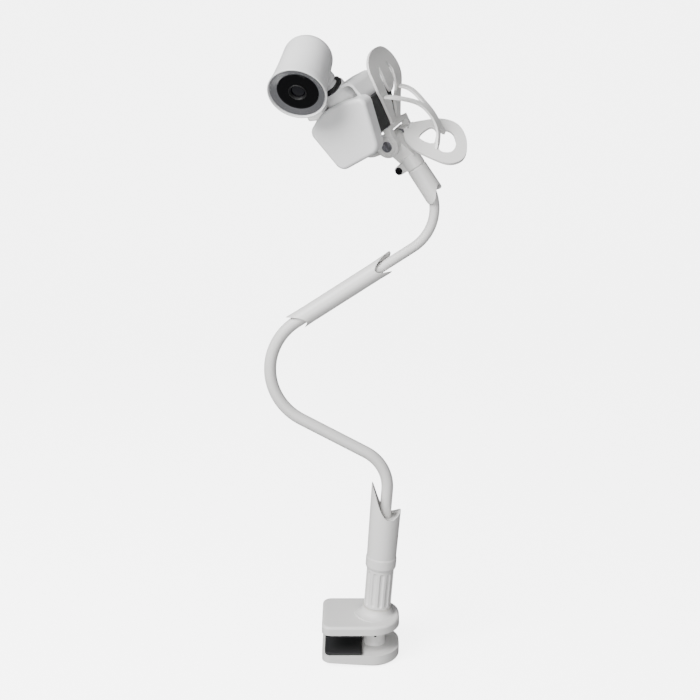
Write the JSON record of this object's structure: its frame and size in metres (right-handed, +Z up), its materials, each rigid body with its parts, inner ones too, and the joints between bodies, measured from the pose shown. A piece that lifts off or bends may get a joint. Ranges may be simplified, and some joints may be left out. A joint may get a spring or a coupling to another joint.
{
  "type": "clamp-on gooseneck camera",
  "caption": "Bullet-head camera on a rounded base, gripped by a spring clip at the top of a bendable gooseneck arm that stands in a screw clamp for a table edge.",
  "frame": {"origin": "centre of the upper clamp pad's underside, where it rests on the table top", "axes": "+Z up, away from the table; +X from the clamp's mouth to its back; +Y away from the side the camera looks to"},
  "size_m": [0.1663, 0.1214, 0.5382],
  "materials": {
    "clamp_plastic": "satin moulded ABS, off-white",
    "arm_plastic": "satin moulded ABS, off-white",
    "clip_plastic": "semi-gloss moulded ABS, off-white",
    "camera_plastic": "semi-gloss moulded ABS, cool white",
    "neck_sheath": "soft PVC sheath, off-white",
    "band_plastic": "white coated spring band",
    "black_plastic": "matt black",
    "bush_plastic": "natural nylon",
    "pad_rubber": "dark grey ribbed rubber",
    "core_steel": "wound wire core",
    "spring_steel": "plain spring wire",
    "zinc_steel": "zinc plated",
    "dark_steel": "blackened",
    "bezel_aluminium": "spun, bright",
    "window_acrylic": "black tinted, polished",
    "lens_glass": "coated, polished",
    "lamp_resin": "tinted clear resin",
    "board": "solder-mask green"
  },
  "bodies": {
    "clamp_base": {"upper_jaw": "clamp_plastic", "upper_pad": "pad_rubber", "thrust_washer": "bush_plastic"},
    "lower_jaw": {"lower_jaw": "clamp_plastic", "lower_pad": "pad_rubber", "screw_nut": "zinc_steel", "post_pin": "dark_steel"},
    "grip": {"fluted_grip": "clamp_plastic", "clamp_screw": "zinc_steel"},
    "arm_lower": {"lower_sleeve": "arm_plastic", "swivel_bush": "bush_plastic", "lower_sheath_root": "neck_sheath", "lower_core_root": "core_steel"},
    "arm_middle": {"lower_sheath_far": "neck_sheath", "lower_core_far": "core_steel", "middle_sleeve": "arm_plastic", "upper_sheath_root": "neck_sheath", "upper_core_root": "core_steel"},
    "arm_upper": {"upper_sheath_far": "neck_sheath", "upper_core_far": "core_steel", "upper_sleeve": "arm_plastic"},
    "yoke": {"yoke": "arm_plastic", "pinch_screw": "dark_steel", "pinch_nut": "dark_steel"},
    "clip": {"clip_jaw": "clip_plastic", "tilt_screw": "zinc_steel", "tilt_nut": "zinc_steel", "hinge_spring": "spring_steel", "arch_spring": "band_plastic", "jaw_pad": "pad_rubber", "base_front_cover": "camera_plastic", "base_rear_cover": "camera_plastic", "base_board": "board", "power_inlet": "black_plastic", "case_screws": "dark_steel"},
    "lever": {"clip_lever": "clip_plastic", "lever_pad": "pad_rubber"},
    "pan_ring": {"pan_ring": "black_plastic"},
    "head": {"head_stub": "camera_plastic", "head_shell": "camera_plastic", "lens_bezel": "bezel_aluminium", "front_window": "window_acrylic", "lens_barrel": "black_plastic", "front_lens": "lens_glass", "infrared_lamps": "lamp_resin", "lamp_board": "board"}
  },
  "joints": [
    {"name": "grip_spin", "type": "hinge", "parent": "clamp_base", "child": "grip", "pos_m": [0.029, 0, 0], "axis": [0.0732, 0, 0.9973], "range_deg": [-1075, 1955]},
    {"name": "jaw_slide", "type": "slide", "parent": "clamp_base", "child": "lower_jaw", "axis": [-0.0732, 0, -0.9973], "range_m": [-0.0148, 0.027]},
    {"name": "arm_swivel", "type": "hinge", "parent": "clamp_base", "child": "arm_lower", "pos_m": [0.029, 0, 0], "axis": [0.0732, 0, 0.9973], "continuous": true},
    {"name": "lower_neck_bend", "type": "hinge", "parent": "arm_lower", "child": "arm_middle", "pos_m": [-0.0081, 0, 0.1772], "axis": [0, 1, 0], "range_deg": [-30, 30]},
    {"name": "upper_neck_bend", "type": "hinge", "parent": "arm_middle", "child": "arm_upper", "pos_m": [0.07441, 0, 0.36517], "axis": [0, 1, 0], "range_deg": [-30, 30]},
    {"name": "clip_swivel", "type": "hinge", "parent": "arm_upper", "child": "yoke", "pos_m": [0.0562, 0, 0.4124], "axis": [-0.5609, 0, 0.8279], "range_deg": [-170, 170]},
    {"name": "clip_tilt", "type": "hinge", "parent": "yoke", "child": "clip", "pos_m": [0.03546, -0.00796, 0.42335], "axis": [0.4122, 0.8672, 0.2793], "range_deg": [-20, 15]},
    {"name": "lever_open", "type": "hinge", "parent": "clip", "child": "lever", "pos_m": [0.03546, -0.00796, 0.42335], "axis": [-0.4122, -0.8672, -0.2793], "range_deg": [0, 24], "stiffness_Nm_per_rad": 0.35, "springref_deg": -20.05, "deforming": ["arch_spring"]},
    {"name": "head_pan", "type": "hinge", "parent": "clip", "child": "pan_ring", "pos_m": [-0.00814, -0.02358, 0.46958], "axis": [-0.605, -0.4184, 0.6775], "range_deg": [-150, 150]},
    {"name": "head_tilt", "type": "hinge", "parent": "pan_ring", "child": "head", "pos_m": [-0.00814, -0.02358, 0.46958], "axis": [0.7773, -0.4947, 0.3887], "range_deg": [-12, 12]}
  ],
  "couplings": [
    {"joint": "grip_spin", "follows": "jaw_slide", "rad_per_m": 1256.6}
  ]
}
